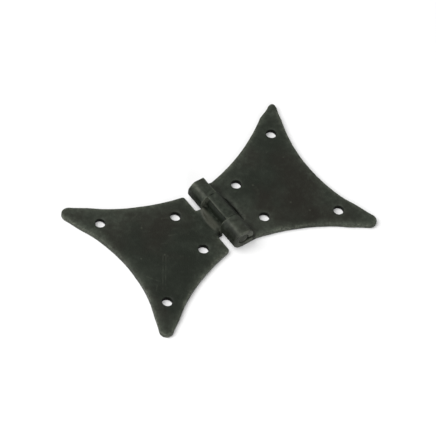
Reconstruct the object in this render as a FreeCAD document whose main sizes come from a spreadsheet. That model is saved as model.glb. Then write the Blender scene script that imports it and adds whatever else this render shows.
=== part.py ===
import FreeCAD, Part
import math
import os

import Sketcher

# Butterfly hinge: two flared sheet leaves whose tongues are rolled round one pin.
# Millimetres. X runs across the hinge, Y along the pin and Z up from the back of the leaves.
# The origin lies on the back plane, under the middle of the pin.

# Driving dimensions: name, value and what it measures
DIMENSIONS = [
    ("overall_length", 76.2, "tip to tip across the pin, leaves laid flat"),
    ("overall_width", 51.0, "tip to tip along the pin"),
    ("outer_hollow", 5.75, "depth of the hollow between the two tips of a leaf"),
    ("side_radius", 67.0, "radius of the hollow side of a wing"),
    ("tip_radius", 2.15, "rounding of a wing tip"),
    ("sheet_thickness", 1.75, "thickness of the sheet"),
    ("barrel_length", 22.0, "length of the three knuckles together"),
    ("middle_knuckle", 9.4, "length of the middle knuckle"),
    ("knuckle_gap", 0.1, "play between two neighbouring knuckles"),
    ("slot_width", 1.35, "open slot between an outer knuckle and the edge of the left leaf"),
    ("notch_width", 1.8, "open notch between the middle knuckle and the edge of the right leaf"),
    ("slot_rounding", 0.7, "rounding of the cut corners along the hinge edge"),
    ("pin_diameter", 3.2, "diameter of the pin"),
    ("pin_clearance", 0.05, "radial clearance between pin and knuckle"),
    ("pin_recess", 0.15, "depth of a pin end below the end of the barrel"),
    ("pin_chamfer", 0.25, "chamfer at a pin end"),
    ("roll_opening", 60.0, "degrees from the leaf's plane up to the end of its roll"),
    ("barrel_flat", 0.3, "how far the top of the barrel is beaten down from its round"),
    ("hole_diameter", 3.0, "screw hole"),
    ("inner_hole_offset", 10.8, "from the pin to an inner hole, across the hinge"),
    ("inner_hole_spacing", 13.4, "between the two inner holes of a leaf"),
    ("outer_hole_inset", 7.7, "from a wing tip to its hole, across the hinge"),
    ("outer_hole_drop", 9.5, "from a wing tip to its hole, along the pin"),
    ("edge_bevel", 0.1, "bevel that takes the sharpness off every cut edge"),
]

# Sizes that follow from the driving dimensions, as spreadsheet expressions
ZERO = "0"
PIN_RADIUS = "(Sizes.pin_diameter / 2)"
PIN_LENGTH = "(Sizes.barrel_length - 2 * Sizes.pin_recess)"
BORE_RADIUS = f"({PIN_RADIUS} + Sizes.pin_clearance)"
KNUCKLE_RADIUS = f"({BORE_RADIUS} + Sizes.sheet_thickness)"
LEFT_EDGE = f"({KNUCKLE_RADIUS} + Sizes.slot_width)"
RIGHT_EDGE = f"({KNUCKLE_RADIUS} + Sizes.notch_width)"
BARREL_TOP = f"(2 * {KNUCKLE_RADIUS} - Sizes.barrel_flat)"
HALF_BARREL = "(Sizes.barrel_length / 2)"
HALF_MIDDLE = "(Sizes.middle_knuckle / 2)"
OUTER_START = f"({HALF_MIDDLE} + Sizes.knuckle_gap)"
TIP_CENTRE_X = "(Sizes.overall_length / 2 - Sizes.tip_radius)"
TIP_CENTRE_Y = "(Sizes.overall_width / 2 - Sizes.tip_radius)"
WAIST_X = "(Sizes.overall_length / 2 - Sizes.outer_hollow)"
HOLE_RADIUS = "(Sizes.hole_diameter / 2)"
HOLE_CENTRES = [
    ("Sizes.inner_hole_offset", "(Sizes.inner_hole_spacing / 2)"),
    (
        "(Sizes.overall_length / 2 - Sizes.outer_hole_inset)",
        "(Sizes.overall_width / 2 - Sizes.outer_hole_drop)",
    ),
]

# Corners of the hinge edge of half a blank, from the middle of the hinge out to the wing
MIDDLE_TONGUE = [(ZERO, ZERO), (ZERO, HALF_MIDDLE), (LEFT_EDGE, HALF_MIDDLE), (LEFT_EDGE, HALF_BARREL)]
OUTER_TONGUE = [
    (RIGHT_EDGE, ZERO),
    (RIGHT_EDGE, OUTER_START),
    (ZERO, OUTER_START),
    (ZERO, HALF_BARREL),
    (RIGHT_EDGE, HALF_BARREL),
]


class At:
    """How a sketch numbers the points of a curve, and its own origin and axes."""

    START, END, CENTRE = range(1, 4)
    X_AXIS, Y_AXIS = range(-1, -3, -1)
    ORIGIN = (X_AXIS, START)


SHARP_ANGLE = math.radians(20)  # faces that meet more sharply than this form a cut edge
NEAR = 1e-4  # two positions closer than this are the same

doc = FreeCAD.newDocument("butterfly_hinge")
sheet = doc.addObject("Spreadsheet::Sheet", "Sizes")
for row, (alias, value, meaning) in enumerate(DIMENSIONS, start=1):
    sheet.set(f"A{row}", alias)
    sheet.set(f"B{row}", str(value))
    sheet.set(f"C{row}", meaning)
    sheet.setAlias(f"B{row}", alias)
doc.recompute()


def number(expression):
    """Present value of a sheet expression, used for the first guess of a sketch."""
    return float(sheet.evalExpression(expression.replace("Sizes.", "")))


def vector(x, y):
    return FreeCAD.Vector(x, y, 0)


def arc(centre, radius, first, last):
    """An arc that runs counter-clockwise from one point to another."""
    angles = [math.atan2(point.y - centre.y, point.x - centre.x) for point in (first, last)]
    if angles[1] < angles[0]:
        angles[1] += 2 * math.pi
    return Part.ArcOfCircle(Part.Circle(centre, FreeCAD.Vector(0, 0, 1), radius), *angles)


def origin_plane(body, role):
    return next(plane for plane in body.Origin.OriginFeatures if plane.Role == role)


def new_sketch(body, name, role):
    sketch = body.newObject("Sketcher::SketchObject", name)
    sketch.AttachmentSupport = (origin_plane(body, role), [""])
    sketch.MapMode = "FlatFace"
    return sketch


def constrain(sketch, kind, *where):
    return sketch.addConstraint(Sketcher.Constraint(kind, *where))


def dimension(sketch, kind, where, expression):
    """Adds a length to a sketch and binds it to the sheet."""
    index = constrain(sketch, kind, *where, number(expression))
    sketch.setExpression(f"Constraints[{index}]", expression)


def place_point(sketch, point, x_expression, y_expression):
    """Dimensions a point of a sketch from the sketch's origin, or puts it on an axis."""
    directions = (("DistanceX", x_expression, At.Y_AXIS), ("DistanceY", y_expression, At.X_AXIS))
    for kind, expression, axis in directions:
        if expression == ZERO:
            constrain(sketch, "PointOnObject", *point, axis)
        else:
            dimension(sketch, kind, (*At.ORIGIN, *point), expression)


def side_centre(corner, tip, side_radius, tip_radius):
    """Centre of a wing's hollow side, which starts at the corner and touches the tip's circle."""
    reach = tip - corner
    along = (side_radius**2 - (side_radius + tip_radius) ** 2 + reach.Length**2) / (2 * reach.Length)
    across = math.sqrt(side_radius**2 - along**2)
    unit = reach / reach.Length
    return corner + unit * along + vector(-unit.y, unit.x) * across


def draw_half_blank(body, hinge_corners):
    """Half of the flat blank: hinge edge, hollow side, tip and hollow outer edge."""
    sketch = new_sketch(body, "HalfBlank", "XY_Plane")
    tip_radius = number("Sizes.tip_radius")
    side_radius = number("Sizes.side_radius")
    tip = vector(number(TIP_CENTRE_X), number(TIP_CENTRE_Y))
    waist = vector(number(WAIST_X), 0)
    corners = [vector(number(x), number(y)) for x, y in hinge_corners]

    reach = tip - waist
    outer_radius = (reach.Length**2 - tip_radius**2) / (2 * (reach.x + tip_radius))
    outer = waist + vector(outer_radius, 0)
    side = side_centre(corners[-1], tip, side_radius, tip_radius)
    outer_touch = tip + (outer - tip).normalize() * tip_radius
    side_touch = tip + (side - tip).normalize() * tip_radius

    steps = [sketch.addGeometry(Part.LineSegment(a, b)) for a, b in zip(corners, corners[1:])]
    side_arc = sketch.addGeometry(arc(side, side_radius, corners[-1], side_touch))
    tip_arc = sketch.addGeometry(arc(tip, tip_radius, outer_touch, side_touch))
    outer_arc = sketch.addGeometry(arc(outer, outer_radius, outer_touch, waist))
    middle = sketch.addGeometry(Part.LineSegment(waist, corners[0]))

    for first, second in zip([middle, *steps], [*steps, side_arc]):
        constrain(sketch, "Coincident", first, At.END, second, At.START)
    constrain(sketch, "Coincident", outer_arc, At.END, middle, At.START)
    constrain(sketch, "Tangent", side_arc, At.END, tip_arc, At.END)
    constrain(sketch, "Tangent", tip_arc, At.START, outer_arc, At.START)
    constrain(sketch, "PointOnObject", outer_arc, At.CENTRE, At.X_AXIS)

    dimension(sketch, "Radius", (side_arc,), "Sizes.side_radius")
    dimension(sketch, "Radius", (tip_arc,), "Sizes.tip_radius")
    place_point(sketch, (tip_arc, At.CENTRE), TIP_CENTRE_X, TIP_CENTRE_Y)
    place_point(sketch, (middle, At.START), WAIST_X, ZERO)
    for piece, (x, y) in zip([*steps, side_arc], hinge_corners):
        place_point(sketch, (piece, At.START), x, y)
    return sketch


def draw_roll(body, far_end):
    """Section of a rolled tongue: from under the pin, up the far side and back over the top."""
    sketch = new_sketch(body, "RollSection", "XZ_Plane")
    sketch.setExpression("AttachmentOffset.Base.z", f"-{far_end}")
    bore, knuckle = number(BORE_RADIUS), number(KNUCKLE_RADIUS)
    opening = math.radians(number("Sizes.roll_opening"))
    axis = vector(0, knuckle)
    ends = [vector(math.cos(opening), math.sin(opening)), vector(0, -1)]

    outside = sketch.addGeometry(arc(axis, knuckle, *[axis + end * knuckle for end in ends]))
    inside = sketch.addGeometry(arc(axis, bore, *[axis + end * bore for end in ends]))
    lip, root = [
        sketch.addGeometry(Part.LineSegment(axis + end * bore, axis + end * knuckle)) for end in ends
    ]
    constrain(sketch, "Coincident", outside, At.CENTRE, inside, At.CENTRE)
    for line, end in ((lip, At.START), (root, At.END)):
        constrain(sketch, "Coincident", inside, end, line, At.START)
        constrain(sketch, "Coincident", outside, end, line, At.END)
    place_point(sketch, (outside, At.CENTRE), ZERO, KNUCKLE_RADIUS)
    dimension(sketch, "Radius", (outside,), KNUCKLE_RADIUS)
    dimension(sketch, "Radius", (inside,), BORE_RADIUS)
    constrain(sketch, "Vertical", root)
    constrain(sketch, "PointOnObject", root, At.START, At.Y_AXIS)
    constrain(sketch, "PointOnObject", outside, At.CENTRE, lip)
    angle = constrain(sketch, "Angle", lip, opening)
    sketch.setExpression(f"Constraints[{angle}]", "Sizes.roll_opening * 1 deg")
    return sketch


def draw_holes(body):
    """The two screw holes of half a leaf."""
    sketch = new_sketch(body, "ScrewHoles", "XY_Plane")
    for x, y in HOLE_CENTRES:
        centre = vector(number(x), number(y))
        hole = sketch.addGeometry(Part.Circle(centre, FreeCAD.Vector(0, 0, 1), number(HOLE_RADIUS)))
        dimension(sketch, "Radius", (hole,), HOLE_RADIUS)
        place_point(sketch, (hole, At.CENTRE), x, y)
    return sketch


def draw_beaten_top(body):
    """Section of what beating takes off the top of a roll: everything above its flat."""
    sketch = new_sketch(body, "BeatenTopSection", "XZ_Plane")
    reach, low, high = number(KNUCKLE_RADIUS), number(BARREL_TOP), number(f"2 * {KNUCKLE_RADIUS}")
    corners = [vector(-reach, low), vector(reach, low), vector(reach, high), vector(-reach, high)]
    sides = [
        sketch.addGeometry(Part.LineSegment(a, b)) for a, b in zip(corners, corners[1:] + corners[:1])
    ]
    for first, second in zip(sides, sides[1:] + sides[:1]):
        constrain(sketch, "Coincident", first, At.END, second, At.START)
    for level, upright in zip(sides[0::2], sides[1::2]):
        constrain(sketch, "Horizontal", level)
        constrain(sketch, "Vertical", upright)
    place_point(sketch, (sides[0], At.END), KNUCKLE_RADIUS, BARREL_TOP)
    dimension(sketch, "DistanceX", (sides[0], At.START, sides[0], At.END), f"2 * {KNUCKLE_RADIUS}")
    dimension(sketch, "DistanceY", (sides[1], At.START, sides[1], At.END), "Sizes.barrel_flat")
    return sketch


def add_pad(body, name, sketch, length):
    pad = body.newObject("PartDesign::Pad", name)
    pad.Profile = sketch
    pad.setExpression("Length", length)
    doc.recompute()
    return pad


def add_cut(body, name, sketch, sides):
    """A cut right through, to the upper side of the sketch or to both."""
    cut = body.newObject("PartDesign::Pocket", name)
    cut.Profile = sketch
    cut.Type = "ThroughAll"
    cut.SideType = "One side" if sides == "OneSide" else "Symmetric"
    cut.Reversed = sides == "OneSide"
    doc.recompute()
    return cut


def add_fillet(body, name, base, edges, radius):
    fillet = body.newObject("PartDesign::Fillet", name)
    fillet.Base = (base, edges)
    fillet.setExpression("Radius", radius)
    doc.recompute()
    return fillet


def add_chamfer(body, name, base, edges, size):
    chamfer = body.newObject("PartDesign::Chamfer", name)
    chamfer.Base = (base, edges)
    chamfer.setExpression("Size", size)
    doc.recompute()
    return chamfer


def face_angle(shape, edge):
    """Angle between the two faces that meet at an edge, 0 where they run on smoothly."""
    faces = shape.ancestorsOfType(edge, Part.Face)
    if len(faces) < 2:
        return 0.0
    middle = edge.valueAt((edge.FirstParameter + edge.LastParameter) / 2)
    normals = [face.normalAt(*face.Surface.parameter(middle)) for face in faces]
    return normals[0].getAngle(normals[1])


def edge_names(shape, wanted):
    return [f"Edge{index}" for index, edge in enumerate(shape.Edges, start=1) if wanted(edge)]


def make_leaf(label, edge, hinge_corners, knuckle_start, knuckle_end):
    """One leaf, drawn with its wings towards +X; the knuckle span is given for half the barrel."""
    body = doc.addObject("PartDesign::Body", label)
    sheet_half = add_pad(body, "Sheet", draw_half_blank(body, hinge_corners), "Sizes.sheet_thickness")
    roll = add_pad(body, "Roll", draw_roll(body, knuckle_end), f"{knuckle_end} - {knuckle_start}")
    holes = add_cut(body, "Holes", draw_holes(body), "OneSide")
    beaten_top = add_cut(body, "BeatenTop", draw_beaten_top(body), "Symmetric")
    for earlier, later in ((roll, holes), (holes, beaten_top)):
        if later.Shape.Volume >= earlier.Shape.Volume:
            raise RuntimeError(f"{label}: {later.Label} cuts nothing")

    whole = body.newObject("PartDesign::Mirrored", "BothHalves")
    whole.Originals = [sheet_half, roll, holes, beaten_top]
    whole.MirrorPlane = (origin_plane(body, "XZ_Plane"), [""])
    body.Tip = whole
    doc.recompute()

    hinge_edge = number(edge)
    at_hinge_edge = edge_names(
        whole.Shape,
        lambda edge: len(edge.Vertexes) == 2 and all(abs(v.X - hinge_edge) < NEAR for v in edge.Vertexes)
        and abs(edge.Vertexes[0].Y - edge.Vertexes[1].Y) < NEAR,
    )
    corners = add_fillet(body, "HingeEdgeCorners", whole, at_hinge_edge, "Sizes.slot_rounding")
    sharp = edge_names(corners.Shape, lambda edge: face_angle(corners.Shape, edge) > SHARP_ANGLE)
    add_chamfer(body, "BrokenEdges", corners, sharp, "Sizes.edge_bevel")
    return body


def make_pin():
    """The pin, a little shorter than the barrel, with chamfered ends."""
    body = doc.addObject("PartDesign::Body", "hinge_pin")
    sketch = new_sketch(body, "PinSection", "XZ_Plane")
    centre = vector(0, number(KNUCKLE_RADIUS))
    circle = sketch.addGeometry(Part.Circle(centre, FreeCAD.Vector(0, 0, 1), number(PIN_RADIUS)))
    dimension(sketch, "Radius", (circle,), PIN_RADIUS)
    place_point(sketch, (circle, At.CENTRE), ZERO, KNUCKLE_RADIUS)
    rod = add_pad(body, "Rod", sketch, PIN_LENGTH)
    rod.SideType = "Symmetric"
    doc.recompute()
    add_chamfer(body, "Ends", rod, edge_names(rod.Shape, lambda edge: edge.Closed), "Sizes.pin_chamfer")
    return body


left_leaf = make_leaf("left_leaf", LEFT_EDGE, MIDDLE_TONGUE, ZERO, HALF_MIDDLE)
right_leaf = make_leaf("right_leaf", RIGHT_EDGE, OUTER_TONGUE, OUTER_START, HALF_BARREL)
hinge_pin = make_pin()
half_turn = FreeCAD.Rotation(FreeCAD.Vector(0, 0, 1), 180)
left_leaf.Placement = FreeCAD.Placement(FreeCAD.Vector(0, 0, 0), half_turn)
doc.recompute()

for item in doc.Objects:
    if {"Invalid", "Error"} & set(item.State):
        raise RuntimeError(f"{item.Label} failed: {item.State}")
sub_parts = [left_leaf, right_leaf, hinge_pin]
for part in sub_parts:
    if part.Shape.isNull() or not part.Shape.isValid() or len(part.Shape.Solids) != 1:
        raise RuntimeError(f"{part.Label} is not one valid solid")

os.makedirs("parts", exist_ok=True)
for part in sub_parts:
    part.Shape.exportStep(os.path.join("parts", f"{part.Label}.step"))
    box = part.Shape.BoundBox
    extents = f"{box.XLength:.2f} x {box.YLength:.2f} x {box.ZLength:.2f}"
    print(f"{part.Label}: {part.Shape.Volume:.1f} mm3, {extents}")
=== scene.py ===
"""Looks of a hand-made butterfly hinge: two flared leaves of black waxed steel on one pin.

It lies open and flat on a white surface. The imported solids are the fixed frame. Each one is copied,
refined and given the uneven surface of hand work.
"""

import math

import bpy
import numpy as np
from mathutils import Matrix, Vector, kdtree, noise


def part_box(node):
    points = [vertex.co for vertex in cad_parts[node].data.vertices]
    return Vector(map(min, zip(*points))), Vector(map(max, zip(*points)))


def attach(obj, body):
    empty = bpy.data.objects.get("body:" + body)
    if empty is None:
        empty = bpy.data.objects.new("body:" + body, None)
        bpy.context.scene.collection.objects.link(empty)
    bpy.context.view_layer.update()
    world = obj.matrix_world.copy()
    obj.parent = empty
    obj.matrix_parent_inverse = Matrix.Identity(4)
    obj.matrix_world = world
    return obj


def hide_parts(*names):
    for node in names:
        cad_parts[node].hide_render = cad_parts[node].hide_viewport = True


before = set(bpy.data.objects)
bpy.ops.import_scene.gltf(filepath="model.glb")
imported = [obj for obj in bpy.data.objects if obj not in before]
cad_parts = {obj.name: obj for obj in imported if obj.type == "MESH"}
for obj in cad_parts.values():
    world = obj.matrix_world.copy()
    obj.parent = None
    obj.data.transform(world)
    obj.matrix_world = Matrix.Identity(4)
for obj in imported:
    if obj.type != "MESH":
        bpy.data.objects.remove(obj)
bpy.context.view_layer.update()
scene = bpy.context.scene

# Sizes of the drawing, in millimetres. The meshes are worked on in millimetres and stored in metres.
MM = 0.001
HALF_LENGTH = 38.1
HALF_WIDTH = 25.5
SHEET = 1.75
PIN_RADIUS = 1.6
PIN_CLEARANCE = 0.05
BORE_RADIUS = PIN_RADIUS + PIN_CLEARANCE
KNUCKLE_RADIUS = BORE_RADIUS + SHEET
AXIS_HEIGHT = KNUCKLE_RADIUS
BARREL_FLAT = 0.3
BARREL_TOP = 2 * KNUCKLE_RADIUS - BARREL_FLAT
SLOT_WIDTH = 1.35
HINGE_EDGE = KNUCKLE_RADIUS + SLOT_WIDTH
HALF_BARREL = 11.0
HALF_MIDDLE = 4.7
KNUCKLE_GAP = 0.1
OUTER_START = HALF_MIDDLE + KNUCKLE_GAP
JOINT = 0.5 * (HALF_MIDDLE + OUTER_START)
ROLL_OPENING = 60.0
TIP_RADIUS = 2.15
TIP_CENTRE = (HALF_LENGTH - TIP_RADIUS, HALF_WIDTH - TIP_RADIUS)
HOLE_RADIUS = 1.5
INNER_HOLE = (10.8, 6.7)
HOLE_FROM_TIP = (7.7, 9.5)
OUTER_HOLE = (HALF_LENGTH - HOLE_FROM_TIP[0], HALF_WIDTH - HOLE_FROM_TIP[1])

# Fineness of the refined meshes
LEAF_VOXEL = 0.17
PIN_VOXEL = 0.12
ROUNDING_PASSES = 2
ROUNDING_SHARE = 0.5

# How far apart the noise of two neighbouring seeds is read
SEED_STEP = (17.3, 5.9, 11.1)


def srgb(red, green, blue):
    """A colour as a picture editor shows it, 0 to 255, as linear values for shaders, by the sRGB curve."""
    def linear(level):
        share = level / 255
        return share / 12.92 if share <= 0.04045 else ((share + 0.055) / 1.055) ** 2.4
    return (linear(red), linear(green), linear(blue), 1.0)


def smoothstep(start, end, value):
    """0 before start, 1 after end, and a smooth ramp between them."""
    share = np.clip((value - start) / (end - start), 0.0, 1.0)
    return share * share * (3.0 - 2.0 * share)


def bell(value, middle, width):
    """1 at the middle, falling to almost nothing at twice the width from it."""
    return np.exp(-(((value - middle) / width) ** 2))


def noise_at(points, size, seed):
    """Smooth noise between about -1 and 1 with features of that size, read at each point."""
    offset = Vector([seed * step for step in SEED_STEP])
    return np.array([noise.noise(Vector(p) / size + offset) for p in points])


def read_points(mesh):
    flat = np.empty(len(mesh.vertices) * 3)
    mesh.vertices.foreach_get("co", flat)
    return flat.reshape(-1, 3)


def write_points(mesh, points):
    mesh.vertices.foreach_set("co", np.ascontiguousarray(points, dtype=np.float32).ravel())
    mesh.update()


def evaluated_copy(piece):
    """The mesh that the piece has with its modifiers applied."""
    return bpy.data.meshes.new_from_object(piece.evaluated_get(bpy.context.evaluated_depsgraph_get()))


def refined(node_name, piece_name, voxel):
    """A finely and evenly meshed copy of a solid in millimetres, with what rounding took off each point."""
    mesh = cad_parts[node_name].data.copy()
    mesh.transform(Matrix.Scale(1 / MM, 4))
    piece = bpy.data.objects.new(piece_name, mesh)
    scene.collection.objects.link(piece)
    remesh = piece.modifiers.new("even_mesh", "REMESH")
    remesh.mode = "VOXEL"
    remesh.voxel_size = voxel
    piece.data = evaluated_copy(piece)
    piece.modifiers.clear()
    before = read_points(piece.data)
    rounding = piece.modifiers.new("eased_edges", "SMOOTH")
    rounding.factor = ROUNDING_SHARE
    rounding.iterations = ROUNDING_PASSES
    piece.data = evaluated_copy(piece)
    piece.modifiers.clear()
    points = read_points(piece.data)
    normals = np.array([v.normal for v in piece.data.vertices])
    taken_off = np.einsum("ij,ij->i", before - points, normals)
    return piece, points, normals, taken_off


def keep_in_box(points, node_name):
    """No point leaves the solid's own box."""
    low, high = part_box(node_name)
    return np.clip(points, np.array(low) / MM, np.array(high) / MM)


def finish_piece(piece, points, node_name, body, slot, material, **marks):
    """Stores the worked points in metres with their marks, and sets the piece in place of its solid."""
    write_points(piece.data, keep_in_box(points, node_name) * MM)
    for mark, amount in marks.items():
        layer = piece.data.attributes.new(mark, "FLOAT", "POINT")
        layer.data.foreach_set("value", np.clip(amount, 0.0, 1.0).astype(np.float32))
    piece.data.materials.clear()
    piece.data.materials.append(material)
    for face in piece.data.polygons:
        face.use_smooth = True
    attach(piece, body)
    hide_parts(node_name)


# Places on the sheet

def roll_place(points):
    """How far each point is from the barrel's axis, and its angle round it from the +X side."""
    across = points[:, 0]
    up = points[:, 2] - AXIS_HEIGHT
    return np.hypot(across, up), np.degrees(np.arctan2(up, across))


PLATE_BLEND_START = HINGE_EDGE - 0.9
PLATE_BLEND_END = HINGE_EDGE + 0.5


def on_plate(points):
    """1 on the flat plate, 0 on the knuckles."""
    return smoothstep(PLATE_BLEND_START, PLATE_BLEND_END, np.abs(points[:, 0]))


def risen(points, start, end):
    """0 below the first share of the sheet's thickness, 1 above the second."""
    return smoothstep(start * SHEET, end * SHEET, points[:, 2])


def away_from_holes(points):
    """How far each point is from the rim of the nearest screw hole."""
    gaps = []
    for across, along in (INNER_HOLE, OUTER_HOLE):
        gaps.append(np.hypot(np.abs(points[:, 0]) - across, np.abs(points[:, 1]) - along))
    return np.min(gaps, axis=0) - HOLE_RADIUS


WALL_SLOPE = 0.4
WALL_START = HINGE_EDGE - 0.3
WALL_FROM_HOLE = 0.6
WALL_SAMPLING = 3


def inside_outline(points, normals):
    """How far each point of the plate is from the nearest cut side of the sheet, the holes left out."""
    wall = (np.abs(normals[:, 2]) < WALL_SLOPE) & (points[:, 2] < SHEET)
    wall &= (np.abs(points[:, 0]) > WALL_START) & (away_from_holes(points) > WALL_FROM_HOLE)
    sides = points[wall][::WALL_SAMPLING]
    tree = kdtree.KDTree(len(sides))
    for index, (across, along, _) in enumerate(sides):
        tree.insert((across, along, 0.0), index)
    tree.balance()
    return np.array([tree.find((across, along, 0.0))[2] for across, along, _ in points])


# Hand work on the plates, in millimetres

BLOW_DEPTH = 0.045
BLOW_SIZE = 5.5
DIMPLE_DEPTH = 0.018
DIMPLE_SIZE = 1.8


def wave_the_face(points, seed):
    """The shallow hollows that hammering leaves on the upper face. The lower face stays flat."""
    upper = risen(points, start=0.55, end=0.95) * on_plate(points)
    blows = BLOW_DEPTH * (1 + noise_at(points, BLOW_SIZE, seed))
    dimples = DIMPLE_DEPTH * (1 + noise_at(points, DIMPLE_SIZE, seed + 1))
    points[:, 2] -= upper * (blows + dimples)


RIM_THINNING = 0.07
RIM_REACH = 1.6
TIP_THINNING = 0.16
TIP_THIN_FROM = 0.5
TIP_THIN_TO = 6.0


def draw_out_the_rim(points, inside):
    """Hammering thins the sheet towards its outline, and most at the four tips."""
    from_tip = np.hypot(np.abs(points[:, 0]) - TIP_CENTRE[0], np.abs(points[:, 1]) - TIP_CENTRE[1])
    at_rim = RIM_THINNING * (1 - smoothstep(0.0, RIM_REACH, inside))
    at_tip = TIP_THINNING * (1 - smoothstep(TIP_THIN_FROM, TIP_THIN_TO, from_tip))
    points[:, 2] *= 1 - (at_rim + at_tip) * on_plate(points)


WAVER_BLEND = 4
WANDER = 0.08
WANDER_SIZE = 4.0
JITTER = 0.04
JITTER_SIZE = 1.1


def waver_the_edges(points, seed):
    """The outline wanders a little, as a line cut by hand does."""
    amount = smoothstep(HINGE_EDGE, HINGE_EDGE + WAVER_BLEND, np.abs(points[:, 0]))
    for axis in (0, 1):
        points[:, axis] += WANDER * amount * noise_at(points, WANDER_SIZE, seed + axis)
        points[:, axis] += JITTER * amount * noise_at(points, JITTER_SIZE, seed + axis + 2)


PINCH_FROM = 0.5
PINCH_TO = 6.5
NECK_BEHIND_END = 6.0
NECK_SPREAD = 3.5


def shape_tips(points, tips):
    """The tips were cut by eye: each is pinched at its end, wide at its neck, leans and is cut shorter.

    A tip is given as its side along the pin, the shares of pinch and of neck, and the lean and the cut.
    """
    run = np.subtract(TIP_CENTRE, OUTER_HOLE)
    run /= np.linalg.norm(run)
    sideways_run = np.array((run[1], -run[0]))
    flat = np.abs(points[:, :2]) - TIP_CENTRE
    behind_end = TIP_RADIUS - flat @ run
    sideways = flat @ sideways_run
    at_end = 1 - smoothstep(PINCH_FROM, PINCH_TO, behind_end)
    at_neck = bell(behind_end, NECK_BEHIND_END, NECK_SPREAD)
    for side, pinch, neck, lean, cut in tips:
        own = np.sign(points[:, 1]) == side
        moved = (neck * at_neck - pinch * at_end) * sideways + lean * at_end
        moved = own[:, None] * (np.outer(moved, sideways_run) - np.outer(cut * at_end, run))
        points[:, 0] += np.sign(points[:, 0]) * moved[:, 0]
        points[:, 1] += side * moved[:, 1]


DISH_DEPTH = 0.07
DISH_REACH = 0.9


def dish_the_holes(points):
    """Each punched hole draws the face round it down a little."""
    upper = risen(points, start=0.5, end=0.9) * on_plate(points)
    points[:, 2] -= DISH_DEPTH * upper * (1 - smoothstep(0.0, DISH_REACH, away_from_holes(points)))


# Hand work on the tongues and knuckles, in millimetres and degrees

CREASE_PLACE = -4.4
CREASE_MIDDLE = -0.5
CREASE_BOW = 0.04


def crease_line(points):
    """How far each point is, across the hinge, from the bowed line where the middle tongue bends."""
    return points[:, 0] - (CREASE_BOW * (points[:, 1] - CREASE_MIDDLE) ** 2 + CREASE_PLACE)


CREASE_WIDTH = 0.4
CREASE_CEILING = SHEET + 0.5


def raise_crease(points, from_line, height):
    """The ridge that bending leaves across a tongue, just outside its knuckle."""
    upper = risen(points, start=0.6, end=0.95) * (points[:, 2] < CREASE_CEILING)
    points[:, 2] += height * upper * bell(from_line, 0.0, CREASE_WIDTH)


SKIN_START = KNUCKLE_RADIUS - 1.0
SKIN_END = KNUCKLE_RADIUS - 0.4


def push_out(points, amount):
    """Moves the outside of the rolls away from the barrel's axis."""
    distance, _ = roll_place(points)
    outer = smoothstep(SKIN_START, SKIN_END, distance) * (1 - on_plate(points))
    share = amount * outer / distance
    points[:, 0] += share * points[:, 0]
    points[:, 2] += share * (points[:, 2] - AXIS_HEIGHT)


DENT_DEPTH = 0.035
DENT_SIZE = 1.4
PIT_DEPTH = 0.02
PIT_SIZE = 0.6


def roughen_knuckles(points, seed):
    """Small dents all over the rolled part."""
    dents = DENT_DEPTH * (1 + noise_at(points, DENT_SIZE, seed))
    pits = PIT_DEPTH * noise_at(points, PIT_SIZE, seed + 1)
    push_out(points, -dents - pits)


LEAST_SINE = 0.01


def outline_radius(angle):
    """Distance from the barrel's axis to the outside of a roll, round but for its beaten top."""
    height = np.maximum(np.sin(np.radians(angle)), LEAST_SINE)
    return np.minimum(KNUCKLE_RADIUS, (BARREL_TOP - AXIS_HEIGHT) / height)


WRAP_FLOOR = SHEET + 1.0
WRAP_BORE = BORE_RADIUS - 0.1
WRAP_SKIN = KNUCKLE_RADIUS - 0.3
WRAP_FULL_ANGLE = ROLL_OPENING + 5
WRAP_END_ANGLE = ROLL_OPENING + 60


def wrap_further(points, turn):
    """The near outer roll is closed more than the far one: its end lies further round the pin."""
    distance, angle = roll_place(points)
    rolled = (points[:, 1] < -HALF_MIDDLE) & (np.abs(points[:, 0]) < KNUCKLE_RADIUS)
    rolled &= (angle > 0.5 * ROLL_OPENING) & (distance > WRAP_BORE) & (points[:, 2] > WRAP_FLOOR)
    further = angle - turn * (1 - smoothstep(WRAP_FULL_ANGLE, WRAP_END_ANGLE, angle))
    outside = smoothstep(BORE_RADIUS, WRAP_SKIN, distance)
    reach = distance + outside * (outline_radius(further) - outline_radius(angle))
    points[:, 0] = np.where(rolled, reach * np.cos(np.radians(further)), points[:, 0])
    points[:, 2] = np.where(rolled, AXIS_HEIGHT + reach * np.sin(np.radians(further)), points[:, 2])


MEETING_WIDTH = 0.25
MEETING_REACH = KNUCKLE_RADIUS + 0.1
CORNER_START = KNUCKLE_RADIUS - 0.5
CORNER_END = KNUCKLE_RADIUS - 0.25
CORNER_REACH = KNUCKLE_RADIUS + 0.05
CORNER_FLOOR = SHEET + 0.3


def close_joints(points, towards):
    """The knuckles meet closely and with sharp ends, so that hardly a line shows between them."""
    distance, angle = roll_place(points)
    meeting = bell(np.abs(points[:, 1]), JOINT, MEETING_WIDTH) * (1 - on_plate(points))
    points[:, 1] += towards * meeting * np.sign(points[:, 1]) * (distance < MEETING_REACH)
    corner = meeting * smoothstep(CORNER_START, CORNER_END, distance)
    corner *= (distance < CORNER_REACH) & (points[:, 2] > CORNER_FLOOR)
    share = 1 + corner * (outline_radius(angle) / distance - 1)
    points[:, 0] *= share
    points[:, 2] = AXIS_HEIGHT + share * (points[:, 2] - AXIS_HEIGHT)


ROOT_START = KNUCKLE_RADIUS + 0.4
ROOT_END = KNUCKLE_RADIUS + 1.0


def at_root(points):
    """0 on the knuckles, 1 on the sheet that leads to them."""
    distance, _ = roll_place(points)
    return smoothstep(ROOT_START, ROOT_END, distance)


JOINT_SHIFT = 0.5
JOINT_SHIFT_SPREAD = 2.5


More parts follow.
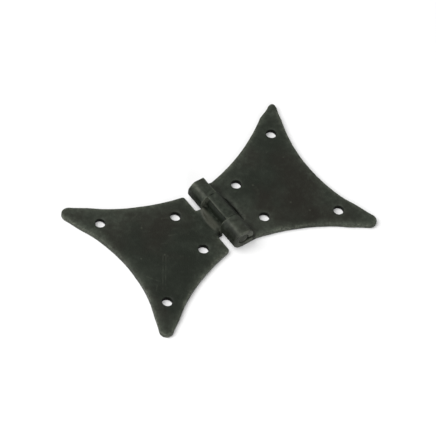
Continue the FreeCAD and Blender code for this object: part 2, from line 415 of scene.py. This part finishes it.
def shift_near_joint(points):
    """The near outer knuckle is longer than the far one, so its joint with the middle one is off centre."""
    rolled = 1 - at_root(points)
    points[:, 1] += JOINT_SHIFT * rolled * bell(points[:, 1], -JOINT, JOINT_SHIFT_SPREAD)


ROOT_BLEND_START = -7.0
ROOT_BLEND_END = -5.0
FAR_ROOT = 0.25
FAR_ROOT_SPREAD = 0.9
NEAR_ROOT = 0.5
NEAR_ROOT_SPREAD = 1.1


def widen_root(points):
    """The root of the middle tongue is wider than its knuckle, more so on the near side."""
    root = at_root(points) * smoothstep(ROOT_BLEND_START, ROOT_BLEND_END, points[:, 0])
    far = FAR_ROOT * bell(points[:, 1], JOINT, FAR_ROOT_SPREAD)
    near = NEAR_ROOT * bell(points[:, 1], -JOINT, NEAR_ROOT_SPREAD)
    points[:, 1] += root * (far - near)


CORNER_LIFT = 0.75
LIFT_CEILING = SHEET + 0.4
LIFT_PLACE = -2.8
LIFT_ACROSS = 0.8
LIFT_ALONG = 1.8


def bend_up_far_corner(points):
    """The far corner of the middle tongue is bent up and almost closes the opening there."""
    upper = risen(points, start=0.7, end=1.0) * (points[:, 2] < LIFT_CEILING)
    place = bell(points[:, 1], HALF_MIDDLE, LIFT_ALONG) * bell(points[:, 0], LIFT_PLACE, LIFT_ACROSS)
    points[:, 2] += CORNER_LIFT * upper * place


SAG_ANGLE = 180.0
SAG_SPREAD = 45.0
FAR_SAG = 0.32
NEAR_SAG = 0.16
SHOULDER_ANGLE = 122.0
SHOULDER_SPREAD = 14.0
FAR_SHOULDER = 0.12
NEAR_SHOULDER = -0.14


def fill_out_knuckles(points):
    """The outer rolls sag towards the other leaf. The far one has the wider beaten top."""
    _, angle = roll_place(points)
    far = points[:, 1] > 0
    left = bell(np.abs(angle), SAG_ANGLE, SAG_SPREAD) * (points[:, 0] < 0)
    shoulder = bell(angle, SHOULDER_ANGLE, SHOULDER_SPREAD)
    sag = left * np.where(far, FAR_SAG, NEAR_SAG)
    push_out(points, sag + shoulder * np.where(far, FAR_SHOULDER, NEAR_SHOULDER))


# Wear, tone, scuffs, painted light and painted shade: amounts from 0 to 1, reaches in millimetres and
# degrees

EDGE_WEAR_START = 0.05
EDGE_WEAR_END = 0.45


def wear_from(taken_off, voxel):
    """0 on flats and hollows, 1 along the edges that stand out."""
    return smoothstep(EDGE_WEAR_START * voxel, EDGE_WEAR_END * voxel, taken_off)


LIP_SPREAD = 6.0
LIP_START = KNUCKLE_RADIUS - 0.7
LIP_END = KNUCKLE_RADIUS - 0.3


def lip_wear(points, lip_angle):
    """Rubbing along the end of a roll, where its sheet stops over the pin, made strong as a painted
    highlight on the edge that catches the light.
    """
    distance, angle = roll_place(points)
    return bell(angle, lip_angle, LIP_SPREAD) * smoothstep(LIP_START, LIP_END, distance)


MEETING_WEAR_WIDTH = 0.2
MEETING_WEAR_START = 95
MEETING_WEAR_END = 120
END_WEAR = 0.6
END_WEAR_WIDTH = 0.3


def rubbed_ends(points):
    """Bare metal where two knuckles turn against each other, and a paler colour on the ends of the barrel:
    painted light on end faces that lie in shade.
    """
    _, angle = roll_place(points)
    along = np.abs(points[:, 1])
    meeting = bell(along, JOINT, MEETING_WEAR_WIDTH)
    meeting *= smoothstep(MEETING_WEAR_START, MEETING_WEAR_END, np.abs(angle))
    ends = END_WEAR * bell(along, HALF_BARREL, END_WEAR_WIDTH)
    return (meeting + ends) * (np.abs(points[:, 0]) < KNUCKLE_RADIUS)


def sum_of_places(points, places):
    """Adds up round places on the plate, each given as across, along, spread and amount."""
    total = np.zeros(len(points))
    for across, along, spread, amount in places:
        total += amount * bell(np.hypot(points[:, 0] - across, points[:, 1] - along), 0.0, spread)
    return total


RIM_WEAR = 0.65
RIM_WEAR_REACH = 0.5
RIM_SPOTS = 1.6
RIM_SPOT_SIZE = 0.45
RIM_PATCHES = 0.8
RIM_PATCH_SIZE = 1.5
MOST_SPOTS = 3.0


def rim_wear(points, inside, spared, seed):
    """The sheet is rubbed bright along its outline, in small broken spots, and less at the spared places."""
    small = RIM_SPOTS * noise_at(points, RIM_SPOT_SIZE, seed)
    large = RIM_PATCHES * noise_at(points, RIM_PATCH_SIZE, seed + 1)
    spots = np.clip(1 + small + large, 0.0, MOST_SPOTS)
    kept = np.clip(1 - sum_of_places(points, spared), 0.0, 1.0)
    return RIM_WEAR * kept * np.exp(-inside / RIM_WEAR_REACH) * on_plate(points) * spots


def grime_in(points, spots):
    """Painted shade in corners and on shaded sides: each spot has a place across and along, its reach in
    both and an amount.
    """
    dirt = np.zeros(len(points))
    for across, along, reach_across, reach_along, amount in spots:
        spot = bell(points[:, 0], across, reach_across) * bell(points[:, 1], along, reach_along)
        dirt = np.maximum(dirt, amount * spot)
    return dirt


WALL_DIRT = 0.9
WALL_DIRT_START = 0.1
WALL_DIRT_END = 0.4


def hole_dirt(points):
    """Painted shade on the walls of the screw holes, below their rubbed rims."""
    wall = 1 - smoothstep(WALL_DIRT_START, WALL_DIRT_END, away_from_holes(points))
    return WALL_DIRT * wall * (1 - risen(points, start=0.75, end=0.95))


SHOULDER_WEAR = 0.6
FAR_WEAR_ANGLE = 130
FAR_WEAR_SPREAD = 9
NEAR_WEAR_SHARE = 0.8
NEAR_WEAR_ANGLE = 118
NEAR_WEAR_SPREAD = 8


def shoulder_wear(points):
    """Rubbing along the edge of the beaten top of the outer rolls, further round on the far one, placed and
    made strong as a painted highlight.
    """
    distance, angle = roll_place(points)
    far = bell(angle, FAR_WEAR_ANGLE, FAR_WEAR_SPREAD)
    near = NEAR_WEAR_SHARE * bell(angle, NEAR_WEAR_ANGLE, NEAR_WEAR_SPREAD)
    edge = np.where(points[:, 1] > 0, far, near) * (np.abs(points[:, 1]) > HALF_MIDDLE)
    return SHOULDER_WEAR * edge * (distance > LIP_START)


RIM_PALE = 0.6
RIM_PALE_REACH = 1.3
WIDE_PALE = 0.16
WIDE_PALE_REACH = 4.0
HOLE_PALE = 0.3
HOLE_PALE_REACH = 0.6
KNUCKLE_PALE = 0.4
KNUCKLE_PATCHES = 0.8
KNUCKLE_PATCH_SIZE = 0.9
KNUCKLE_SEED_STEP = 5
PLATE_PATCHES = 0.45
PLATE_PATCH_SIZE = 2.2


def paling(points, inside, places, seed):
    """Paler colour along the outline, round the holes, on the knuckles and at the listed places, where a
    negative amount darkens instead.
    """
    pale = RIM_PALE * np.exp(-inside / RIM_PALE_REACH) + WIDE_PALE * np.exp(-inside / WIDE_PALE_REACH)
    pale += HOLE_PALE * np.exp(-np.maximum(away_from_holes(points), 0.0) / HOLE_PALE_REACH)
    pale += sum_of_places(points, places)
    plate = on_plate(points)
    uneven = KNUCKLE_PATCHES * noise_at(points, KNUCKLE_PATCH_SIZE, seed + KNUCKLE_SEED_STEP)
    rolled = KNUCKLE_PALE * (1 + uneven) * (1 - plate)
    return (pale * plate + rolled) * (1 + PLATE_PATCHES * noise_at(points, PLATE_PATCH_SIZE, seed))


BENT_SHARE = 0.75
BEFORE_CREASE = -0.6
OPENING_START = -2.9
OPENING_END = -1.8
NEAR_FADE_START = -4.5
NEAR_FADE_END = -2.0


def bent_tongue(points, from_crease):
    """Painted light on the middle tongue: a paler brownish grey from its crease to its opening, fading on
    the near side.
    """
    tongue = smoothstep(BEFORE_CREASE, 0.0, from_crease)
    tongue *= 1 - smoothstep(OPENING_START, OPENING_END, points[:, 0])
    tongue *= smoothstep(NEAR_FADE_START, NEAR_FADE_END, points[:, 1])
    tongue *= np.abs(points[:, 1]) < OUTER_START
    return BENT_SHARE * tongue * risen(points, start=0.8, end=1.0)


SCRATCH = 0.35
SCRATCH_WIDTH = 0.16
SCRATCH_LEVEL = 0.6
SCRATCH_CHANGE = 0.4
SCRATCH_WAVES = 19
NICK = 0.8
NICK_WIDTH = 0.22
MARKED_HEIGHT = 0.8 * SHEET


def scuffs(points, nicks, scratches=()):
    """Light spots and thin lines of changing strength on the upper face."""
    marked = np.zeros(len(points))
    flat = points[:, :2]
    for start, end in scratches:
        run = np.subtract(end, start)
        share = np.clip((flat - start) @ run / (run @ run), 0.0, 1.0)
        away = np.linalg.norm(flat - start - share[:, None] * run, axis=1)
        strength = SCRATCH_LEVEL + SCRATCH_CHANGE * np.sin(share * SCRATCH_WAVES)
        marked = np.maximum(marked, SCRATCH * bell(away, 0.0, SCRATCH_WIDTH) * strength)
    for nick in nicks:
        away = np.linalg.norm(flat - nick, axis=1)
        marked = np.maximum(marked, NICK * bell(away, 0.0, NICK_WIDTH))
    return marked * (points[:, 2] > MARKED_HEIGHT)


# Shader nodes

def add(tree, kind, settings=None, **inputs):
    """Adds a node. An input given a socket is wired to it, and any other value is set on the node itself."""
    made = tree.nodes.new(kind)
    for name, value in (settings or {}).items():
        setattr(made, name, value)
    for name, value in inputs.items():
        key = int(name[1:]) if name[0] == "i" and name[1:].isdigit() else name.replace("_", " ")
        socket = made.inputs[key]
        if isinstance(value, bpy.types.NodeSocket):
            tree.links.new(value, socket)
        else:
            socket.default_value = value
    return made


def noise_node(tree, place, scale, detail=4.0, roughness=0.55):
    made = add(tree, "ShaderNodeTexNoise", Vector=place, Scale=scale, Detail=detail, Roughness=roughness)
    return made.outputs["Fac"]


def ramp(tree, factor, low, high, bottom=0.0, top=1.0):
    """The factor between low and high, spread smoothly from bottom to top."""
    spread = add(tree, "ShaderNodeMapRange", {"interpolation_type": "SMOOTHSTEP"}, Value=factor,
                 From_Min=low, From_Max=high, To_Min=bottom, To_Max=top)
    return spread.outputs["Result"]


def maths(tree, operation, first, second):
    return add(tree, "ShaderNodeMath", {"operation": operation}, i0=first, i1=second).outputs[0]


# Output of a mix node for colours. Its inputs are then 0 for the factor, 6 and 7 for the colours.
MIXED_COLOUR = 2


def mix(tree, factor, first, second):
    """The first colour where the factor is 0, the second where it is 1."""
    blend = add(tree, "ShaderNodeMix", {"data_type": "RGBA"}, i0=factor, i6=first, i7=second)
    return blend.outputs[MIXED_COLOUR]


def new_material(name):
    material = bpy.data.materials.new(name)
    material.use_nodes = True
    material.node_tree.nodes.clear()
    return material, material.node_tree


def attribute(tree, name):
    return add(tree, "ShaderNodeAttribute", {"attribute_name": name}).outputs["Fac"]


# Waxed steel

GREEN_BLACK = srgb(14, 19, 11)
BROWN_BLACK = srgb(18, 17, 10)
PALE_GREEN = srgb(51, 56, 48)
# Paler brownish grey for painted light on the middle tongue between its crease and the opening
BENT_BROWN = srgb(60, 61, 53)
# Pale metal for rubbed edges, scuffs and specks, also laid as painted highlights on the lips and shoulders
# of the rolls and as painted light on the barrel's ends
RUBBED = srgb(90, 93, 82)
# Near-black for painted shade in corners, on shaded sides and on the hole walls
GRIME = srgb(9, 10, 7)
# The pin's colours are paler than the leaves' base: painted light that lifts the pin where it lies in shade,
# inside the middle knuckle's opening and at the barrel's end
PIN_BLACK = srgb(25, 29, 23)
PIN_BROWN = srgb(29, 28, 22)
SCUFF_SHARE = 0.4
RUBBED_ROUGHNESS = -0.08
GRAIN_SHARE = 0.6
BUMP_STRENGTH = 0.5
BUMP_HEIGHT = 0.25 * MM
GRIMY_GLOSS_SHARE = 0.25
LEAF_GLOSS = 0.15
PIN_GLOSS = 0.1
LEAF_SHIFT = (0.0, 0.0, 0.0)
PIN_SHIFT = (31.0, 21.7, 0.0)


def waxed_steel(name, base, brown, bent, gloss, shift):
    """Black waxed steel: brown patches, paler tones, rubbed edges, painted highlights and painted light in
    the pale rubbed colour, scuffs, painted light on the middle tongue, painted shade and grain.
    """
    material, tree = new_material(name)
    coordinates = add(tree, "ShaderNodeTexCoord").outputs["Object"]
    in_mm = (1 / MM, 1 / MM, 1 / MM)
    mapping = add(tree, "ShaderNodeMapping", Vector=coordinates, Location=shift, Scale=in_mm)
    place = mapping.outputs["Vector"]
    patches = ramp(tree, noise_node(tree, place, scale=0.055, detail=3.0), low=0.42, high=0.62)
    clouds = noise_node(tree, place, scale=0.16, detail=5.0, roughness=0.6)
    haze = ramp(tree, clouds, low=0.45, high=0.75, top=0.22)
    mottle = noise_node(tree, place, scale=0.8, detail=5.0, roughness=0.65)
    grain = noise_node(tree, place, scale=3.0, detail=3.0, roughness=0.6)
    colour = mix(tree, patches, base, brown)
    uneven = ramp(tree, mottle, low=0.3, high=0.7, bottom=0.45, top=1.35)
    # The paler tone, made uneven
    thin = maths(tree, "MULTIPLY", attribute(tree, "thin_wax"), uneven)
    colour = mix(tree, maths(tree, "ADD", thin, haze), colour, PALE_GREEN)
    colour = mix(tree, ramp(tree, mottle, low=0.5, high=0.85, top=0.35), colour, PALE_GREEN)
    # Painted light on the middle tongue, in the colour given as bent
    colour = mix(tree, attribute(tree, "bent_sheet"), colour, bent)
    dots = noise_node(tree, place, scale=1.3, detail=2.0, roughness=0.5)
    specks = ramp(tree, dots, low=0.735, high=0.79, top=0.35)
    scuffed = maths(tree, "MULTIPLY", attribute(tree, "scuffed"), SCUFF_SHARE)
    colour = mix(tree, maths(tree, "ADD", specks, scuffed), colour, RUBBED)
    broken = ramp(tree, noise_node(tree, place, scale=0.5), low=0.35, high=0.65, bottom=0.3, top=0.95)
    # This mark holds real rubbing together with painted highlights and painted light, all in the pale rubbed
    # colour
    rubbed = maths(tree, "MULTIPLY", attribute(tree, "edge_wear"), broken)
    colour = mix(tree, rubbed, colour, RUBBED)
    dullness = ramp(tree, mottle, low=0.3, high=0.7, bottom=0.46, top=0.6)
    roughness = maths(tree, "ADD", dullness, maths(tree, "MULTIPLY", rubbed, RUBBED_ROUGHNESS))
    relief = maths(tree, "ADD", maths(tree, "MULTIPLY", grain, GRAIN_SHARE), mottle)
    bump = add(tree, "ShaderNodeBump", Height=relief, Strength=BUMP_STRENGTH, Distance=BUMP_HEIGHT)
    # Painted shade darkens the colour and takes most of the gloss away
    grime = attribute(tree, "grime")
    colour = mix(tree, grime, colour, GRIME)
    sheen = ramp(tree, grime, low=0.0, high=1.0, bottom=gloss, top=GRIMY_GLOSS_SHARE * gloss)
    shader = add(tree, "ShaderNodeBsdfPrincipled", Base_Color=colour, Roughness=roughness,
                 Normal=bump.outputs["Normal"], Specular_IOR_Level=sheen)
    add(tree, "ShaderNodeOutputMaterial", Surface=shader.outputs["BSDF"])
    return material


leaf_steel = waxed_steel("waxed_black_steel", GREEN_BLACK, BROWN_BLACK, BENT_BROWN, LEAF_GLOSS, LEAF_SHIFT)
pin_steel = waxed_steel("dark_pin_steel", PIN_BLACK, PIN_BROWN, PIN_BROWN, PIN_GLOSS, PIN_SHIFT)

# Pale places on the plates, and places that rim wear spares: across, along, spread and amount
LEFT_PALE = [(-34, 20, 6, 0.15), (-28, 14, 5, 0.2), (-31, -20, 5, -0.15), (-26, -13, 6, -0.25),
             (-9, -9, 3, 0.35), (-6.5, 0, 2.5, 0.25), (-37, -24, 3, 0.2), (-12, -12, 3, -0.2),
             (-22, 14, 5, 0.15), (-34, 6, 4, -0.25)]
RIGHT_PALE = [(7.5, 0, 3, 0.2), (8, 8, 3, 0.25), (10, -9, 3.5, 0.35), (35, 22, 3, 0.3), (36, -23, 3, 0.2),
              (28, -12, 4, 0.3), (19, -14, 6, -0.35), (18, 13, 6, 0.2)]
LEFT_SPARED = [(-33, -4, 8, 0.6), (-31, -21, 4, 0.6), (-34, 13, 6, 0.55)]
RIGHT_SPARED = [(22, -16, 7, 0.6), (36, -25, 4, 0.5)]

# Scratches, each from end to end, and nicks
LEFT_SCRATCHES = [((-22, -2.6), (-29, -12)), ((-21.5, -3.3), (-27.5, -11.2)), ((-16.6, 2.2), (-14.7, 1.3)),
                  ((-20, 0.9), (-18.6, 0.3)), ((-22.1, 12.3), (-20.2, 12.7)), ((-14.7, 8), (-13, 7.3)),
                  ((-30.4, -6.1), (-28.1, -9.4)), ((-29.6, -10.1), (-30.9, -11.6))]
LEFT_NICKS = [(-21.5, -2.7), (-32.2, 13.3), (-21.5, 8.3), (-28, -0.3)]
RIGHT_NICKS = [(20.2, -6.7), (23.2, -11.9), (14.6, 3.8)]

# Painted shade by the near slot, beside the middle knuckle and its notch, and on the left sides of the outer
# knuckles: across, along, reach across, reach along and amount
LEFT_GRIME = [(-4.2, -4.9, 1.0, 0.9, 0.9), (2.6, 0, 0.8, 7, 0.9)]
RIGHT_GRIME = [(5.2, 0, 0.5, 5, 0.9), (-3.5, 8, 0.8, 4, 0.5), (-2.9, -8.5, 1.1, 4, 0.6)]

# Tips, the far one first: side, pinch, neck, lean and cut
LEFT_TIPS = [(1, 0.05, 0.11, -0.2, 0.0), (-1, 0.05, 0.07, 0.0, 0.0)]
RIGHT_TIPS = [(1, 0.37, 0.0, 0.35, 0.3), (-1, 0.03, 0.09, 0.0, 0.0)]

# Creases, joints and the roll that is closed further
LEFT_LIP_SHARE = 0.5
LEFT_CREASE = 0.16
LEFT_CREASE_START = -1.5
LEFT_CREASE_END = 2.5
RIGHT_CREASE = 0.08
RIGHT_CREASE_PLACE = 4.3
JOINT_CLOSING = 0.045
NEAR_ROLL_TURN = 72

# The leaf with one knuckle
piece, points, normals, taken_off = refined("left_leaf", "left_leaf_forged", LEAF_VOXEL)
inside = inside_outline(points, normals)
pale = paling(points, inside, LEFT_PALE, seed=21)
scuffed = scuffs(points, LEFT_NICKS, LEFT_SCRATCHES)
hole_walls = hole_dirt(points)
from_crease = crease_line(points)
# Painted light on the middle tongue
bent = bent_tongue(points, from_crease)
# Wear, with painted light on the barrel's ends and a painted highlight on the lip
worn = wear_from(taken_off, LEAF_VOXEL) + rubbed_ends(points)
worn += LEFT_LIP_SHARE * lip_wear(points, 180 - ROLL_OPENING)
worn += rim_wear(points, inside, LEFT_SPARED, seed=31)
close_joints(points, JOINT_CLOSING)
wave_the_face(points, seed=1)
draw_out_the_rim(points, inside)
dish_the_holes(points)
raise_crease(points, from_crease, LEFT_CREASE * smoothstep(LEFT_CREASE_START, LEFT_CREASE_END, points[:, 1]))
bend_up_far_corner(points)
widen_root(points)
roughen_knuckles(points, seed=4)
shift_near_joint(points)
shape_tips(points, LEFT_TIPS)
waver_the_edges(points, seed=6)
grime = grime_in(points, LEFT_GRIME) + hole_walls
finish_piece(piece, points, "left_leaf", "one_knuckle_leaf", "waxed_steel", leaf_steel,
             edge_wear=worn, thin_wax=pale, bent_sheet=bent, scuffed=scuffed, grime=grime)

# The leaf with two knuckles
piece, points, normals, taken_off = refined("right_leaf", "right_leaf_forged", LEAF_VOXEL)
inside = inside_outline(points, normals)
pale = paling(points, inside, RIGHT_PALE, seed=22)
scuffed = scuffs(points, RIGHT_NICKS)
hole_walls = hole_dirt(points)
# Wear, with painted light on the barrel's ends and painted highlights on the lip and shoulders
worn = wear_from(taken_off, LEAF_VOXEL) + rubbed_ends(points)
worn += lip_wear(points, ROLL_OPENING) + shoulder_wear(points)
worn += rim_wear(points, inside, RIGHT_SPARED, seed=33)
close_joints(points, -JOINT_CLOSING)
wave_the_face(points, seed=11)
draw_out_the_rim(points, inside)
dish_the_holes(points)
raise_crease(points, points[:, 0] - RIGHT_CREASE_PLACE, RIGHT_CREASE)
wrap_further(points, NEAR_ROLL_TURN)
fill_out_knuckles(points)
roughen_knuckles(points, seed=4)
shift_near_joint(points)
shape_tips(points, RIGHT_TIPS)
waver_the_edges(points, seed=16)
grime = grime_in(points, RIGHT_GRIME) + hole_walls
finish_piece(piece, points, "right_leaf", "two_knuckle_leaf", "waxed_steel", leaf_steel,
             edge_wear=worn, thin_wax=pale, scuffed=scuffed, grime=grime)

# The pin
piece, points, normals, taken_off = refined("hinge_pin", "hinge_pin_rod", PIN_VOXEL)
# Its ends get the same painted light as the barrel's ends
finish_piece(piece, points, "hinge_pin", "two_knuckle_leaf", "pin_steel", pin_steel,
             edge_wear=wear_from(taken_off, PIN_VOXEL) + rubbed_ends(points))

# Floor: white to the camera, with the shadow kept
FLOOR_REACH = 2.0
FLOOR_HEIGHT = -0.05 * MM
PAPER_WHITE = 0.68
PAPER_GLOW = 0.1
corners = [(-1, -1), (1, -1), (1, 1), (-1, 1)]
floor_points = [(across * FLOOR_REACH, along * FLOOR_REACH, FLOOR_HEIGHT) for across, along in corners]
floor_mesh = bpy.data.meshes.new("white_floor")
floor_mesh.from_pydata(floor_points, [], [(0, 1, 2, 3)])
floor = bpy.data.objects.new("white_floor", floor_mesh)
scene.collection.objects.link(floor)


def seen_directly(tree):
    """1 for rays that show the background itself: from the camera, off gloss or through glass."""
    path = add(tree, "ShaderNodeLightPath")
    gloss = maths(tree, "MAXIMUM", path.outputs["Is Camera Ray"], path.outputs["Is Glossy Ray"])
    return maths(tree, "MAXIMUM", gloss, path.outputs["Is Transmission Ray"])


material, tree = new_material("white_paper")
paper = add(tree, "ShaderNodeBsdfDiffuse", Color=(PAPER_WHITE, PAPER_WHITE, PAPER_WHITE, 1.0))
glow = add(tree, "ShaderNodeEmission", Strength=maths(tree, "MULTIPLY", seen_directly(tree), PAPER_GLOW))
both = add(tree, "ShaderNodeAddShader", i0=paper.outputs[0], i1=glow.outputs[0])
add(tree, "ShaderNodeOutputMaterial", Surface=both.outputs[0])
floor_mesh.materials.append(material)

# World: plain soft light, and white where it is seen itself
SURROUND = 0.35
scene.world = bpy.data.worlds.new("studio")
scene.world.use_nodes = True
tree = scene.world.node_tree
tree.nodes.clear()
level = ramp(tree, seen_directly(tree), low=0.0, high=1.0, bottom=SURROUND, top=1.0)
surround = add(tree, "ShaderNodeBackground", Strength=level)
add(tree, "ShaderNodeOutputWorld", Surface=surround.outputs[0])

# Lamps, in metres and watts
LAMP_DISTANCE = 1.2


def soft_box(name, direction, size, power):
    """A square lamp in that direction from the origin, facing it."""
    direction = Vector(direction).normalized()
    light = bpy.data.lights.new(name, "AREA")
    light.shape = "SQUARE"
    light.size = size
    light.energy = power
    lamp = bpy.data.objects.new(name, light)
    scene.collection.objects.link(lamp)
    lamp.location = direction * LAMP_DISTANCE
    lamp.rotation_mode = "QUATERNION"
    lamp.rotation_quaternion = direction.to_track_quat("Z", "Y")


# The key light stands high on the left and behind. The fill light on the near side lights the barrel's end.
soft_box("key_softbox", direction=(-0.48, 0.2, 0.86), size=1.2, power=22.5)
soft_box("fill_softbox", direction=(-0.4, -0.8, 0.45), size=0.55, power=5.5)

# Camera, from the photograph: bearing, height, roll and distance, with the picture 436 pixels wide
AZIMUTH = math.radians(-45.7)
ELEVATION = math.radians(52.57)
ROLL = math.radians(11.26)
DISTANCE = 1360.0
PIXELS = 436
PIXELS_PER_MM = 3.534
ORIGIN_PIXEL = (219.3, 219.55)
SENSOR = 36.0
CLIP_END = 10.0
level_reach = math.cos(ELEVATION)
back = Vector((math.sin(AZIMUTH) * level_reach, -math.cos(AZIMUTH) * level_reach, math.sin(ELEVATION)))
level_right = Vector((0, 0, 1)).cross(back).normalized()
level_up = back.cross(level_right)
right = math.cos(ROLL) * level_right + math.sin(ROLL) * level_up
up = math.cos(ROLL) * level_up - math.sin(ROLL) * level_right
aim = (right * (PIXELS / 2 - ORIGIN_PIXEL[0]) - up * (PIXELS / 2 - ORIGIN_PIXEL[1])) / PIXELS_PER_MM
place = (aim + back * DISTANCE) * MM
lens = bpy.data.cameras.new("camera")
lens.sensor_width = SENSOR
lens.lens = PIXELS_PER_MM * DISTANCE * SENSOR / PIXELS
lens.clip_end = CLIP_END
camera = bpy.data.objects.new("camera", lens)
scene.collection.objects.link(camera)
camera.matrix_world = Matrix((
    (right.x, up.x, back.x, place.x),
    (right.y, up.y, back.y, place.y),
    (right.z, up.z, back.z, place.z),
    (0, 0, 0, 1),
))
scene.camera = camera
scene.view_settings.view_transform = "Standard"
